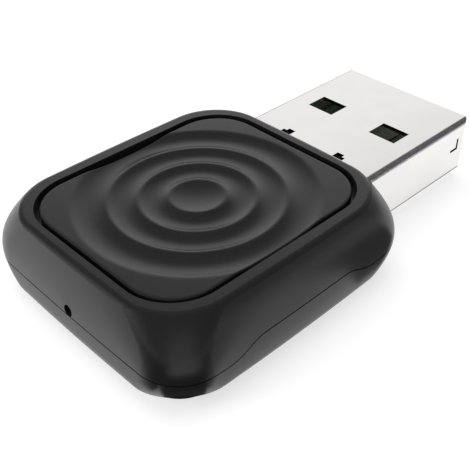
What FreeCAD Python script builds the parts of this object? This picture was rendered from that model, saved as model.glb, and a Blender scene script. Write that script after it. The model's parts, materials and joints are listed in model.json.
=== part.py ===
import FreeCAD, Part
import math
import os
import re
import Sketcher
from FreeCAD import Vector

# A small in-car wireless adapter: a pillow-shaped plastic body with a rippled
# cover plate, and a USB-A plug that carries a circuit board tongue.
# The origin is the centre of the flat base, +X runs out along the plug, +Z is up.

doc = FreeCAD.newDocument("wireless_adapter")
sheet = doc.addObject("Spreadsheet::Sheet", "Sizes")

SIZES = [
    ("Casing, seen from above", None, None),
    ("body_length", 21.0, "length at the widest level, where the bowed ends meet the corners"),
    ("body_width", 19.54, "width at the widest level, in the same way"),
    ("body_corner", 2.9, "corner radius at the widest level"),
    ("rim_shorter", 1.5, "top edge shorter than the widest level"),
    ("rim_narrower", 2.16, "top edge narrower than the widest level"),
    ("rim_corner", 4.35, "corner radius at the top edge"),
    ("base_longer", 0.1, "base longer than the widest level, before its edge is rounded"),
    ("base_narrower", 0.84, "base narrower than the widest level, before its edge is rounded"),
    ("base_corner", 5.6, "corner radius at the base"),
    ("end_turn", 1.5, "degrees from the middle of a bowed end to its corner"),
    ("side_turn", 1.5, "degrees from the middle of a bowed side to its corner"),
    ("Casing, heights", None, None),
    ("body_height", 6.28, "base to top of the rim"),
    ("belly_height", 3.1, "level of the widest outline"),
    ("rim_round", 0.45, "rounding of the top edge"),
    ("base_round", 1.45, "rounding of the base edge"),
    ("side_wall", 1.0, "wall thickness"),
    ("floor_wall", 0.9, "floor thickness"),
    ("deck_wall", 0.75, "thickness of the deck under the cover plate"),
    ("Joint between the shells", None, None),
    ("joint_end", 2.95, "height of the joint at the two ends"),
    ("joint_low", 2.35, "height of the joint beside the raised stretch"),
    ("joint_high", 3.15, "height of the raised stretch"),
    ("joint_crest", 8.2, "length of the raised stretch"),
    ("joint_foot", 11.8, "length over both slopes"),
    ("joint_bend", 3.0, "rounding where the joint line turns"),
    ("joint_gap", 0.08, "open line seen between the shells"),
    ("lip_rise", 0.6, "height of the lower shell's lip above the joint"),
    ("lip_wall", 0.45, "thickness of the lip"),
    ("lip_play", 0.06, "clearance round the lip"),
    ("Cover plate", None, None),
    ("plate_end_rim", 1.04, "plate's ends inside the top edge"),
    ("plate_side_rim", 1.23, "plate's sides inside the top edge"),
    ("plate_corner", 3.3, "corner radius of the plate"),
    ("plate_thick", 0.62, "thickness at the crests"),
    ("plate_drop", 0.08, "crests below the rim"),
    ("plate_play", 0.34, "gap round the plate"),
    ("dish_radius", 1.89, "first crest, round the middle dish"),
    ("ripple_pitch", 1.98, "distance from crest to crest"),
    ("outer_pitch", 2.27, "width of the last trough"),
    ("ripple_depth", 0.27, "depth of each trough"),
    ("crest_land", 0.05, "flat on top of each crest"),
    ("tape_thick", 0.1, "double-sided tape under the plate"),
    ("tape_inset", 0.6, "tape edge inside the plate edge"),
    ("Plug, standard sizes", None, None),
    ("plug_width", 12.0, "outer width of the plug"),
    ("plug_height", 4.5, "outer height of the plug"),
    ("plug_sheet", 0.3, "sheet thickness"),
    ("plug_bend", 0.4, "outer bend radius"),
    ("plug_reach", 12.1, "length from the end of the body's sides"),
    ("plug_inside", 1.25, "length behind the end of the body's sides"),
    ("plug_share", 0.4793, "height of the plug's axis as a share of the body's height"),
    ("plug_level", "=plug_share * body_height", "height of the plug's axis"),
    ("plug_play", 0.05, "clearance of the plug in the casing"),
    ("plug_lead", 0.12, "bevel round the mouth"),
    ("mouth_corner", 0.7, "rounding of the sheet's corners at the mouth"),
    ("window_length", 1.85, "latch window along the plug"),
    ("window_width", 2.35, "latch window across the plug"),
    ("window_back", 5.4, "window's front edge behind the tip"),
    ("window_space", 6.05, "distance between the window centres"),
    ("pip_length", 0.65, "small hole near the body, along the plug"),
    ("pip_width", 0.9, "small hole near the body, across the plug"),
    ("pip_ahead", 0.41, "small hole in front of the body's end"),
    ("pip_space", 5.1, "distance between the small holes"),
    ("pip_step", 0.3, "step in the small hole's outline"),
    ("slit_width", 0.15, "width of the side spring's slit"),
    ("slit_rise", 0.9, "height of the side spring"),
    ("slit_run", 0.85, "length of the side spring"),
    ("slit_back", 1.22, "side spring behind the tip"),
    ("slit_drop", 1.4, "side spring below the plug's top"),
    ("seam_width", 0.06, "seam of the folded sheet"),
    ("key_length", 1.1, "length of a dovetail key in the seam"),
    ("key_width", 1.2, "reach of a dovetail key over the seam"),
    ("key_flare", 0.22, "how far each side of a dovetail key spreads"),
    ("key_space", 5.2, "distance between the dovetail keys"),
    ("leg_length", 1.7, "solder leg behind the plug's shell"),
    ("leg_height", 2.2, "height of the solder leg"),
    ("tongue_level", 1.95, "contact face above the inside of the sheet"),
    ("tongue_play", 0.15, "clearance beside the tongue"),
    ("tongue_back", 0.65, "tongue's end behind the tip"),
    ("nose_bevel", 0.2, "bevel on the nose of the plug's insulator"),
    ("Contacts", None, None),
    ("contact_thick", 0.08, "contact above the board"),
    ("contact_width", 1.0, "width of a contact"),
    ("contact_back", 1.0, "contact's end behind the tongue's end"),
    ("power_length", 8.6, "length of the two outer contacts"),
    ("data_length", 7.6, "length of the two inner contacts"),
    ("power_space", 7.0, "distance between the outer contacts"),
    ("data_space", 2.0, "distance between the inner contacts"),
    ("Circuit board", None, None),
    ("board_thick", 1.0, "thickness of the board"),
    ("board_play", 0.5, "board to the inside of the end wall"),
    ("board_side_play", 1.05, "board to the inside of the side walls"),
    ("board_corner", 2.6, "radius of the board's rear corners"),
    ("shoulder_share", 0.4, "radius of the board's front corners as a share of the shoulder"),
    ("shoulder_back", 2.1, "board shoulder behind the inner front wall"),
    ("post_width", 1.7, "diameter of a support post"),
    ("pin_width", 0.8, "diameter of the pin on a post"),
    ("pin_rise", 0.7, "height of the pin in the board"),
    ("pin_play", 0.1, "board hole larger than its pin"),
    ("post_from_front", 4.15, "front posts behind the inside of the front wall"),
    ("post_from_rear", 3.1, "rear posts ahead of the inside of the rear wall"),
    ("post_from_side", 2.6, "posts in from the inside of the side walls"),
    ("Status light", None, None),
    ("light_hole", 0.8, "hole in the end wall"),
    ("light_width", 1.6, "light across the board"),
    ("light_deep", 0.7, "light along the board"),
    ("light_high", 0.8, "height of the light"),
    ("notch_play", 0.1, "clearance of the light in its notch"),
    ("Small parts", None, None),
    ("chip_bevel", 0.08, "bevel round the top of a chip"),
    ("can_sheet", 0.15, "sheet of the shield can"),
    ("can_round", 0.3, "bend radius of the shield can"),
    ("can_room", 0.7, "space round the chip in the can"),
    ("can_share", 0.75, "height of the can as a share of the room above the board"),
    ("pad_inset", 0.5, "thermal pad inside the processor's edge"),
    ("cap_share", 0.25, "metal end of a small part as a share of its length"),
]


# Chips and other single parts on the board: middle as shares of the body's length and width,
# length, width, height as a share of the room on their side, and whether that is the board's
# top or under it
CHIPS = {
    "main_processor": (-0.03, -0.15, 5.4, 5.4, 0.5, "top"),
    "wireless_chip": (-0.045, 0.187, 3.6, 3.6, 0.42, "top"),
    "surge_protector": (0.31, 0.0, 1.2, 1.6, 0.33, "top"),
    "power_regulator": (0.215, -0.105, 2.0, 2.0, 0.39, "top"),
    "power_inductor": (0.21, 0.135, 2.5, 2.5, 0.61, "top"),
    "input_fuse": (0.315, -0.178, 0.9, 1.6, 0.28, "top"),
    "main_crystal": (-0.265, -0.14, 2.0, 1.6, 0.33, "top"),
    "radio_crystal": (-0.25, 0.12, 1.6, 2.0, 0.28, "top"),
    "chip_antenna": (-0.375, 0.135, 1.2, 2.4, 0.5, "top"),
    "flash_memory": (-0.163, 0.0, 5.0, 6.0, 0.78, "under"),
    "working_memory": (0.135, 0.0, 4.6, 6.0, 0.82, "under"),
}
# Groups of small two-ended parts: length, width, height as a share of the room, side, and the
# middle of each as shares of the body
GROUPS = {
    "bulk_capacitors": (2.0, 1.25, 0.82, "under", [(0.03, 0.23), (0.15, 0.23), (0.03, -0.23)]),
    "ceramic_capacitors": (1.0, 0.5, 0.48, "under", [
        (-0.34, -0.155), (-0.34, -0.078), (-0.34, 0.0), (-0.34, 0.078), (-0.34, 0.155),
        (-0.165, 0.215), (-0.095, 0.215), (-0.165, -0.215), (-0.095, -0.215),
        (0.3, -0.13), (0.3, -0.06), (0.3, 0.06), (0.3, 0.13)]),
    "chip_resistors": (1.0, 0.5, 0.19, "top", [
        (-0.24, 0.0), (-0.305, 0.0), (-0.24, -0.045), (-0.305, -0.045),
        (0.22, -0.19), (0.16, -0.19), (0.16, -0.24)]),
}


def chip_sizes():
    """Sheet rows for each chip and each group."""
    rows = []
    for name, values in CHIPS.items():
        rows.append((name.replace("_", " ").capitalize(), None, None))
        for word, value in zip(("along", "across"), values):
            rows.append((name + "_" + word, value, word + ", as a share of the body"))
        for word, value in zip(("length", "width", "share"), values[2:]):
            rows.append((name + "_" + word, value, word))
    for name, values in GROUPS.items():
        rows.append((name.replace("_", " ").capitalize(), None, None))
        for word, value in zip(("length", "width", "share"), values):
            rows.append((name + "_" + word, value, word))
    return rows


def fill_sheet():
    """Writes one row for each size: its meaning, its value and its name."""
    for row, (name, value, meaning) in enumerate(SIZES + chip_sizes(), start=1):
        if value is None:
            sheet.set("A%d" % row, name)
            continue
        sheet.set("A%d" % row, meaning)
        sheet.set("B%d" % row, str(value))
        sheet.setAlias("B%d" % row, name)
    doc.recompute()


def size(text):
    """Value of an expression over the sheet's names."""
    result = sheet.evalExpression(text)
    return float(getattr(result, "Value", result))


def bound(text):
    """The same expression with the sheet's name before each size, for other objects."""
    return re.sub(r"\b([a-z]+(?:_[a-z]+)+)\b", r"Sizes.\1", text)


def bind(thing, path, text):
    """Ties one property to an expression over the sheet."""
    thing.setExpression(path, bound(text))


fill_sheet()


# Sketches

def new_body(label):
    body = doc.addObject("PartDesign::Body", label)
    body.Label = label
    return body


def new_sketch(body, name, plane, offset="0", lift="0"):
    """A sketch on one of the body's own origin planes, moved along its normal and upwards."""
    sketch = body.newObject("Sketcher::SketchObject", name)
    role = next(f for f in body.Origin.OriginFeatures if f.Role == plane)
    sketch.AttachmentSupport = [(role, "")]
    sketch.MapMode = "FlatFace"
    if offset != "0":
        bind(sketch, "AttachmentOffset.Base.z", offset)
    if lift != "0":
        bind(sketch, "AttachmentOffset.Base.y", lift)
    return sketch


def hold(sketch, kind, *where, value):
    """A driving dimension tied to an expression; kind is Radius, DistanceX or DistanceY."""
    index = sketch.addConstraint(Sketcher.Constraint(kind, *where, size(value)))
    bind(sketch, "Constraints[%d]" % index, value)


def at(sketch, vertex, across, up):
    """Places a line's or arc's point at two expressions from the sketch's origin."""
    hold(sketch, "DistanceX", *vertex, value=across)
    hold(sketch, "DistanceY", *vertex, value=up)


def polygon(sketch, corners):
    """A closed outline of straight edges through corners given as expressions."""
    points = [Vector(size(a), size(b), 0) for a, b in corners]
    first = sketch.GeometryCount
    count = len(points)
    for i in range(count):
        sketch.addGeometry(Part.LineSegment(points[i], points[(i + 1) % count]), False)
    for i in range(count):
        sketch.addConstraint(Sketcher.Constraint("Coincident", first + i, 2, first + (i + 1) % count, 1))
        at(sketch, (first + i, 1), *corners[i])


def rectangle(sketch, left, right, low, high):
    polygon(sketch, [(left, low), (right, low), (right, high), (left, high)])


def circle(sketch, across, up, diameter):
    centre = Vector(size(across), size(up), 0)
    index = sketch.addGeometry(Part.Circle(centre, Vector(0, 0, 1), size(diameter) / 2), False)
    at(sketch, (index, 3), across, up)
    hold(sketch, "Diameter", index, value=diameter)


def arc_between(centre, radius, start, end):
    full = Part.Circle(Vector(centre[0], centre[1], 0), Vector(0, 0, 1), radius)
    return Part.ArcOfCircle(full, start, end)


def rounded(sketch, half_x, half_y, corner):
    """A rounded rectangle round the sketch's origin: four lines and four tangent arcs."""
    a, b, r = size(half_x), size(half_y), size(corner)
    quarter = math.pi / 2
    middles = [(a - r, b - r), (r - a, b - r), (r - a, r - b), (a - r, r - b)]
    ends = [Vector(a, r - b, 0), Vector(a, b - r, 0), Vector(a - r, b, 0), Vector(r - a, b, 0),
            Vector(-a, b - r, 0), Vector(-a, r - b, 0), Vector(r - a, -b, 0), Vector(a - r, -b, 0)]
    first = sketch.GeometryCount
    for i, middle in enumerate(middles):
        sketch.addGeometry(Part.LineSegment(ends[2 * i], ends[2 * i + 1]), False)
        sketch.addGeometry(arc_between(middle, r, i * quarter, (i + 1) * quarter), False)
    join_ring(sketch, first)
    for i, kind in enumerate(["Vertical", "Horizontal", "Vertical", "Horizontal"]):
        sketch.addConstraint(Sketcher.Constraint(kind, first + 2 * i))
    hold(sketch, "Radius", first + 1, value=corner)
    for i in (3, 5, 7):
        sketch.addConstraint(Sketcher.Constraint("Equal", first + 1, first + i))
    hold(sketch, "DistanceX", first, 1, value=half_x)
    hold(sketch, "DistanceY", first + 2, 1, value=half_y)
    hold(sketch, "DistanceX", first + 4, 1, value="-(%s)" % half_x)
    hold(sketch, "DistanceY", first + 6, 1, value="-(%s)" % half_y)


def join_ring(sketch, first):
    """Eight edges in a ring, each tangent to the next."""
    for i in range(8):
        following = first + (i + 1) % 8
        sketch.addConstraint(Sketcher.Constraint("Tangent", first + i, 2, following, 1))


def pillow(sketch, half_x, half_y, corner):
    """A rounded rectangle with four bowed sides; the half sizes are those where the bows end.

    Every outline turns by the same angles, so a loft through several stays smooth at its edges.
    """
    x, y, r = size(half_x), size(half_y), size(corner)
    end, side = math.radians(size("end_turn")), math.radians(size("side_turn"))
    cx = x - r * math.cos(end)
    cy = y - r * math.cos(side)
    end_radius = (cy + r * math.sin(end)) / math.sin(end)
    side_radius = (cx + r * math.sin(side)) / math.sin(side)
    end_middle = x - end_radius * math.cos(end)
    side_middle = y - side_radius * math.cos(side)
    turn = math.pi
    start = turn / 2 - side
    bows = [((end_middle, 0), end_radius, -end, end), ((0, side_middle), side_radius, start, turn - start),
            ((-end_middle, 0), end_radius, turn - end, turn + end),
            ((0, -side_middle), side_radius, turn + start, 2 * turn - start)]
    corners = [((cx, cy), end, start), ((-cx, cy), turn - start, turn - end),
               ((-cx, -cy), turn + end, turn + start), ((cx, -cy), 2 * turn - start, 2 * turn - end)]
    first = sketch.GeometryCount
    for (centre, radius, low, high), (middle, one, two) in zip(bows, corners):
        sketch.addGeometry(arc_between(centre, radius, low, high), False)
        sketch.addGeometry(arc_between(middle, r, one, two), False)
    join_ring(sketch, first)
    hold(sketch, "Radius", first + 1, value=corner)
    for i in (3, 5, 7):
        sketch.addConstraint(Sketcher.Constraint("Equal", first + 1, first + i))
    for edge, axis in ((0, -1), (4, -1), (2, -2), (6, -2)):
        sketch.addConstraint(Sketcher.Constraint("PointOnObject", first + edge, 3, axis))
    for edge, angle in ((0, "end_turn"), (2, "side_turn"), (4, "end_turn"), (6, "side_turn")):
        spread(sketch, first + edge, "2 * " + angle)
    hold(sketch, "DistanceX", first, 2, value=half_x)
    hold(sketch, "DistanceX", first + 4, 1, value="-(%s)" % half_x)
    hold(sketch, "DistanceY", first + 2, 1, value=half_y)
    hold(sketch, "DistanceY", first + 6, 1, value="-(%s)" % half_y)


def spread(sketch, arc, degrees):
    """Angle that an arc sweeps."""
    index = sketch.addConstraint(Sketcher.Constraint("Angle", arc, math.radians(size(degrees))))
    bind(sketch, "Constraints[%d]" % index, degrees)


# Features

def extrude(body, sketch, length, kind="Pad", centred=False, back=False):
    """A pad or pocket; back turns it against the sketch's normal for a pad, along it for a pocket."""
    feature = body.newObject("PartDesign::" + kind, kind)
    feature.Profile = sketch
    feature.Midplane = centred
    feature.Reversed = back
    bind(feature, "Length", length)
    return feature


def soften(body, edges, radius, kind="Fillet"):
    """Rounds or bevels the edges of the body's last feature for which the test is true."""
    doc.recompute()
    last = body.Tip
    names = ["Edge%d" % (i + 1) for i, edge in enumerate(last.Shape.Edges) if edges(edge.BoundBox)]
    feature = body.newObject("PartDesign::" + kind, kind)
    feature.Base = (last, names)
    bind(feature, "Radius" if kind == "Fillet" else "Size", radius)
    return feature


def level(height):
    """Test for edges that lie flat at a height."""
    z = size(height)
    return lambda box: abs(box.ZMin - z) < 1e-4 and abs(box.ZMax - z) < 1e-4


def upright(box):
    """Test for vertical edges."""
    return box.XLength < 1e-6 and box.YLength < 1e-6


def join(kind, label, parts):
    """Part::MultiFuse or Part::MultiCommon of several objects."""
    result = doc.addObject("Part::" + kind, label)
    result.Shapes = parts
    result.Refine = False
    result.Label = label
    return result


def cut(label, base, tool):
    result = doc.addObject("Part::Cut", label)
    result.Base = base
    result.Tool = tool
    result.Refine = False
    result.Label = label
    return result


def cylinder(label, across, height, place):
    """An upright cylinder by diameter, height and the middle of its lower end."""
    round_bar = doc.addObject("Part::Cylinder", label)
    bind(round_bar, "Radius", "(%s) / 2" % across)
    bind(round_bar, "Height", height)
    for axis, text in zip("xyz", place):
        bind(round_bar, "Placement.Base." + axis, text)
    return round_bar


# Heights and lengths that several pieces share
RIM_X = "(body_length - rim_shorter) / 2"
RIM_Y = "(body_width - rim_narrower) / 2"
BASE_X = "(body_length + base_longer) / 2"
BASE_Y = "(body_width - base_narrower) / 2"
PLATE_X = RIM_X + " - plate_end_rim"
PLATE_Y = RIM_Y + " - plate_side_rim"
DECK_TOP = "body_height - plate_drop - plate_thick - tape_thick"
CEILING = DECK_TOP + " - deck_wall"
BOARD_TOP = "plug_level - plug_height / 2 + plug_sheet + tongue_level - contact_thick"
BOARD_UNDER = BOARD_TOP + " - board_thick"
TIP = "body_length / 2 + plug_reach"
PLUG_BACK = "body_length / 2 - plug_inside"
TONGUE_END = TIP + " - tongue_back"
BOARD_BACK = "body_length / 2 - side_wall - board_play"
SHOULDER = "body_length / 2 - side_wall - shoulder_back"
BOARD_EDGE = "body_width / 2 - side_wall - board_side_play"
ROOMS = {"top": "(%s - (%s))" % (CEILING, BOARD_TOP), "under": "(%s - floor_wall)" % BOARD_UNDER}


# Casing

def free_outline(shape, name, height, half_x, half_y, corner):
    """An outline at a height, outside any body; shape is pillow or rounded."""
    sketch = doc.addObject("Sketcher::SketchObject", name)
    if height != "0":
        bind(sketch, "Placement.Base.z", height)
    shape(sketch, half_x, half_y, corner)
    return sketch


def outline_loft(label, sections, ruled, shape):
    """A solid through outlines given as name, height, half length, half width and corner."""
    form = doc.addObject("Part::Loft", label)
    form.Sections = [free_outline(shape, *section) for section in sections]
    form.Solid = True
    form.Ruled = ruled
    return form


def casing_form():
    """The whole outer pillow, with its rounded rim and base."""
    swell = outline_loft("casing_loft", [
        ("base_outline", "0", BASE_X, BASE_Y, "base_corner"),
        ("belly_outline", "belly_height", "body_length / 2", "body_width / 2", "body_corner"),
        ("rim_outline", "body_height", RIM_X, RIM_Y, "rim_corner")], False, pillow)
    body = new_body("casing_form")
    body.BaseFeature = swell
    soften(body, level("0"), "base_round")
    soften(body, level("body_height"), "rim_round")
    return body


def cavity_form():
    """The hollow that both shells share, a wall's thickness inside the pillow."""
    floor = ("floor_outline", "floor_wall", BASE_X + " - side_wall", BASE_Y + " - side_wall",
             "base_corner - side_wall")
    waist = ("waist_outline", "belly_height", "body_length / 2 - side_wall", "body_width / 2 - side_wall",
             "body_corner - side_wall")
    ceiling = ("ceiling_outline", CEILING, "body_length / 2 - rim_shorter / 4 - side_wall",
               "body_width / 2 - rim_narrower / 4 - side_wall", "rim_corner - side_wall")
    return outline_loft("cavity_form", [floor, waist, ceiling], True, rounded)


def joint_side(label, shift, above):
    """All the space above or below the joint, which rises along the middle of the sides."""
    body = new_body(label)
    sketch = new_sketch(body, label + "_profile", "XZ_Plane")
    far = "body_length"
    turns = [("-" + far, "joint_end"), ("-joint_foot / 2", "joint_low"), ("-joint_crest / 2", "joint_high"),
             ("joint_crest / 2", "joint_high"), ("joint_foot / 2", "joint_low"), (far, "joint_end")]
    line = [(x, "%s + %s" % (z, shift)) for x, z in turns]
    shut = "2 * body_height" if above else "-body_height"
    polygon(sketch, line + [(far, shut), ("-" + far, shut)])
    extrude(body, sketch, "2 * body_width", centred=True)
    outer = size("joint_foot / 2") + 1e-4
    bottom, top = 0, size("body_height")
    soften(body, lambda box: box.XLength < 1e-6 and abs(box.XMin) < outer and bottom < box.ZMin < top,
           "joint_bend")
    return body


def ring_core(label, grow):
    """An upright block whose outline is the hollow's widest, made larger all round."""
    body = new_body(label)
    sketch = new_sketch(body, label + "_outline", "XY_Plane", "floor_wall")
    rounded(sketch, "body_length / 2 - side_wall + " + grow, "body_width / 2 - side_wall + " + grow,
            "body_corner - side_wall + " + grow)
    extrude(body, sketch, "body_height")
    return body


def plug_passage():
    """The opening for the plug in the front wall."""
    body = new_body("plug_passage")
    sketch = new_sketch(body, "plug_passage_outline", "YZ_Plane", PLUG_BACK + " - plug_play", "plug_level")
    rounded(sketch, "plug_width / 2 + plug_play", "plug_height / 2 + plug_play", "plug_bend + plug_play")
    extrude(body, sketch, "plug_inside + plug_reach")
    return body


def light_passage():
    """The round hole in the end wall, on the joint."""
    body = new_body("light_passage")
    sketch = new_sketch(body, "light_passage_outline", "YZ_Plane", "-body_length")
    circle(sketch, "0", "joint_end", "light_hole")
    extrude(body, sketch, "body_length - (%s)" % BOARD_BACK)
    return body


def plate_recess():
    """The pocket in the top that takes the cover plate."""
    body = new_body("plate_recess")
    sketch = new_sketch(body, "plate_recess_outline", "XY_Plane", DECK_TOP)
    rounded(sketch, PLATE_X + " + plate_play", PLATE_Y + " + plate_play", "plate_corner + plate_play")
    extrude(body, sketch, "body_height")
    return body


def post_places():
    """The four posts: a name for each and its place."""
    inside = "body_length / 2 - side_wall - "
    across = "body_width / 2 - side_wall - post_from_side"
    for end, x in (("front", inside + "post_from_front"), ("rear", "-(%spost_from_rear)" % inside)):
        for hand, y in (("left", across), ("right", "-(%s)" % across)):
            yield end + "_" + hand, x, y


def shells():
    """The two moulded halves, which meet at a stepped joint with a lip inside."""
    form = casing_form()
    hollow = cavity_form()
    plug_hole = plug_passage()
    light_hole = light_passage()

    lip = join("MultiCommon", "lip_ring",
               [ring_core("lip_core", "lip_wall"), joint_side("lip_top", "lip_rise", False)])
    lower_wall = join("MultiCommon", "lower_wall", [form, joint_side("below_joint", "0", False)])
    lower_skin = cut("lower_skin", join("MultiFuse", "lower_block", [lower_wall, lip]), hollow)
    low_posts = []
    high_posts = []
    rise = BOARD_UNDER + " - floor_wall / 2"
    drop = "%s + deck_wall / 2 - (%s)" % (CEILING, BOARD_TOP)
    for name, x, y in post_places():
        low_posts.append(cylinder("low_post_" + name, "post_width", rise, (x, y, "floor_wall / 2")))
        low_posts.append(cylinder("pin_" + name, "pin_width", "pin_rise", (x, y, BOARD_UNDER)))
        high_posts.append(cylinder("high_post_" + name, "post_width", drop, (x, y, BOARD_TOP)))
    lower_solid = join("MultiFuse", "lower_solid", [lower_skin] + low_posts)
    cut("lower_shell", lower_solid, join("MultiFuse", "lower_openings", [plug_hole, light_hole]))

    rebate = join("MultiCommon", "rebate_ring",
                  [ring_core("rebate_core", "lip_wall + lip_play"), joint_side("rebate_top", "lip_rise", False)])
    upper_wall = join("MultiCommon", "upper_wall", [form, joint_side("above_joint", "joint_gap", True)])
    upper_skin = cut("upper_skin", upper_wall, join("MultiFuse", "upper_hollow", [hollow, rebate]))
    upper_solid = join("MultiFuse", "upper_solid", [upper_skin] + high_posts)
    upper_openings = join("MultiFuse", "upper_openings", [plug_hole, light_hole, plate_recess()])
    cut("upper_shell", upper_solid, upper_openings)


# Cover plate

def trough(sketch, inner, outer):
    """A concave ring between two crests: a chord at crest level over a shallow arc."""
    top = "body_height - plate_drop"
    middle_line = inner == "0"
    left = "0" if middle_line else inner + " + crest_land / 2"
    right = outer + " - crest_land / 2"
    half = right if middle_line else "((%s) - (%s)) / 2" % (right, left)
    radius = "((%s)^2 + ripple_depth^2) / (2 * ripple_depth)" % half
    x0, x1, z, depth, r = size(left), size(right), size(top), size("ripple_depth"), size(radius)
    first = sketch.GeometryCount
    sketch.addGeometry(Part.LineSegment(Vector(x0, z, 0), Vector(x1, z, 0)), False)
    at(sketch, (first, 1), left, top)
    at(sketch, (first, 2), right, top)
    low = z - depth + r
    reach = math.asin(size(half) / r)
    down = -math.pi / 2
    if middle_line:
        sketch.addGeometry(arc_between((0, low), r, down, down + reach), False)
        sketch.addGeometry(Part.LineSegment(Vector(0, z - depth, 0), Vector(0, z, 0)), False)
        sketch.addConstraint(Sketcher.Constraint("Coincident", first, 2, first + 1, 2))
        sketch.addConstraint(Sketcher.Constraint("Coincident", first + 1, 1, first + 2, 1))
        sketch.addConstraint(Sketcher.Constraint("Coincident", first + 2, 2, first, 1))
        sketch.addConstraint(Sketcher.Constraint("PointOnObject", first + 1, 3, -2))
        sketch.addConstraint(Sketcher.Constraint("PointOnObject", first + 1, 1, -2))
    else:
        sketch.addGeometry(arc_between(((x0 + x1) / 2, low), r, down - reach, down + reach), False)
        sketch.addConstraint(Sketcher.Constraint("Coincident", first, 1, first + 1, 1))
        sketch.addConstraint(Sketcher.Constraint("Coincident", first, 2, first + 1, 2))
    hold(sketch, "Radius", first + 1, value=radius)


def ripple_plate():
    """A thin plate turned with concave rings that meet in sharp crests."""
    body = new_body("ripple_plate")
    outline = new_sketch(body, "plate_outline", "XY_Plane", DECK_TOP + " + tape_thick")
    rounded(outline, PLATE_X, PLATE_Y, "plate_corner")
    extrude(body, outline, "plate_thick")
    rings = new_sketch(body, "ripple_profile", "XZ_Plane")
    crests = ["0", "dish_radius", "dish_radius + ripple_pitch", "dish_radius + 2 * ripple_pitch",
              "dish_radius + 2 * ripple_pitch + outer_pitch"]
    for inner, outer in zip(crests, crests[1:]):
        trough(rings, inner, outer)
    groove = body.newObject("PartDesign::Groove", "Ripples")
    groove.Profile = rings
    groove.ReferenceAxis = (rings, ["V_Axis"])
    groove.Angle = 360
    return body


def plate_tape():
    body = new_body("plate_adhesive")
    outline = new_sketch(body, "tape_outline", "XY_Plane", DECK_TOP)
    rounded(outline, PLATE_X + " - tape_inset", PLATE_Y + " - tape_inset", "plate_corner - tape_inset")
    extrude(body, outline, "tape_thick")


# Plug

def windows(body):
    """Two latch windows through the top and the bottom of the sheet."""
    sketch = new_sketch(body, "window_outlines", "XY_Plane", "plug_level")
    front = TIP + " - window_back"
    for middle in ("window_space / 2", "-window_space / 2"):
        rectangle(sketch, front + " - window_length", front,
                  middle + " - window_width / 2", middle + " + window_width / 2")
    extrude(body, sketch, "2 * plug_height", "Pocket", centred=True)


def pips(body):
    """Two small stepped holes in the top, just in front of the body."""
    sketch = new_sketch(body, "pip_outlines", "XY_Plane", "plug_level")
    rear = "body_length / 2 + pip_ahead"
    front = rear + " + pip_length"
    for side in ("(%s)", "-(%s)"):
        inner = side % "pip_space / 2 - pip_width / 2"
        outer = side % "pip_space / 2 + pip_width / 2"
        step = side % "pip_space / 2 + pip_width / 2 - pip_step"
        polygon(sketch, [(rear, inner), (front, inner), (front, step), (front + " - pip_step", step),
                         (front + " - pip_step", outer), (rear, outer)])
    extrude(body, sketch, "plug_height", "Pocket", back=True)


def side_springs(body):
    """An L-shaped slit near the tip frees a small spring in each side."""
    sketch = new_sketch(body, "slit_outlines", "XZ_Plane")
    front = TIP + " - slit_back"
    top = "plug_level + plug_height / 2 - slit_drop"
    foot = top + " - slit_rise"
    back = front + " - slit_run"
    inner = front + " - slit_width"
    ledge = foot + " + slit_width"
    polygon(sketch, [(front, top), (inner, top), (inner, ledge), (back, ledge), (back, foot), (front, foot)])
    extrude(body, sketch, "2 * plug_width", "Pocket", centred=True)


def seam(body):
    """The butt seam of the folded sheet along the underside, with two flared keys."""
    half = "seam_width / 2"
    middle = PLUG_BACK + " + (plug_reach + plug_inside) / 2"
    ends = (PLUG_BACK + " - seam_width", TIP + " + seam_width")
    near = [(ends[0], "-" + half)]
    far = [(ends[0], half)]
    for start in (middle + " - key_space / 2", middle + " + key_space / 2"):
        stop = start + " + key_length"
        near += [(start + " + " + half, "-" + half),
                 (start + " - key_flare + " + half, "key_width - " + half),
                 (stop + " + key_flare - " + half, "key_width - " + half),
                 (stop + " - " + half, "-" + half)]
        far += [(start + " - " + half, half),
                (start + " - key_flare - " + half, "key_width + " + half),
                (stop + " + key_flare + " + half, "key_width + " + half),
                (stop + " + " + half, half)]
    near.append((ends[1], "-" + half))
    far.append((ends[1], half))
    sketch = new_sketch(body, "seam_outline", "XY_Plane", "plug_level - plug_height / 2 - plug_sheet")
    polygon(sketch, near + far[::-1])
    extrude(body, sketch, "3 * plug_sheet", "Pocket", back=True)


def mouth_corner(sketch, hand):
    """The corner left over outside a round of the sheet's front edge; hand is 1 or -1."""
    sign = "" if hand > 0 else "-"
    edge = sign + "plug_width / 2"
    reach = "%s(plug_width / 2 - mouth_corner)" % sign
    back = TIP + " - mouth_corner"
    x0, x1, y0, y1, r = size(back), size(TIP), size(reach), size(edge), size("mouth_corner")
    first = sketch.GeometryCount
    sketch.addGeometry(Part.LineSegment(Vector(x1, y0, 0), Vector(x1, y1, 0)), False)
    sketch.addGeometry(Part.LineSegment(Vector(x1, y1, 0), Vector(x0, y1, 0)), False)
    start, end = (0, math.pi / 2) if hand > 0 else (-math.pi / 2, 0)
    sketch.addGeometry(arc_between((x0, y0), r, start, end), False)
    one, two = (1, 2) if hand > 0 else (2, 1)
    sketch.addConstraint(Sketcher.Constraint("Coincident", first, 2, first + 1, 1))
    sketch.addConstraint(Sketcher.Constraint("Coincident", first, 1, first + 2, one))
    sketch.addConstraint(Sketcher.Constraint("Coincident", first + 1, 2, first + 2, two))
    at(sketch, (first, 1), TIP, reach)
    at(sketch, (first, 2), TIP, edge)
    at(sketch, (first + 1, 2), back, edge)
    hold(sketch, "Radius", first + 2, value="mouth_corner")


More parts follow.
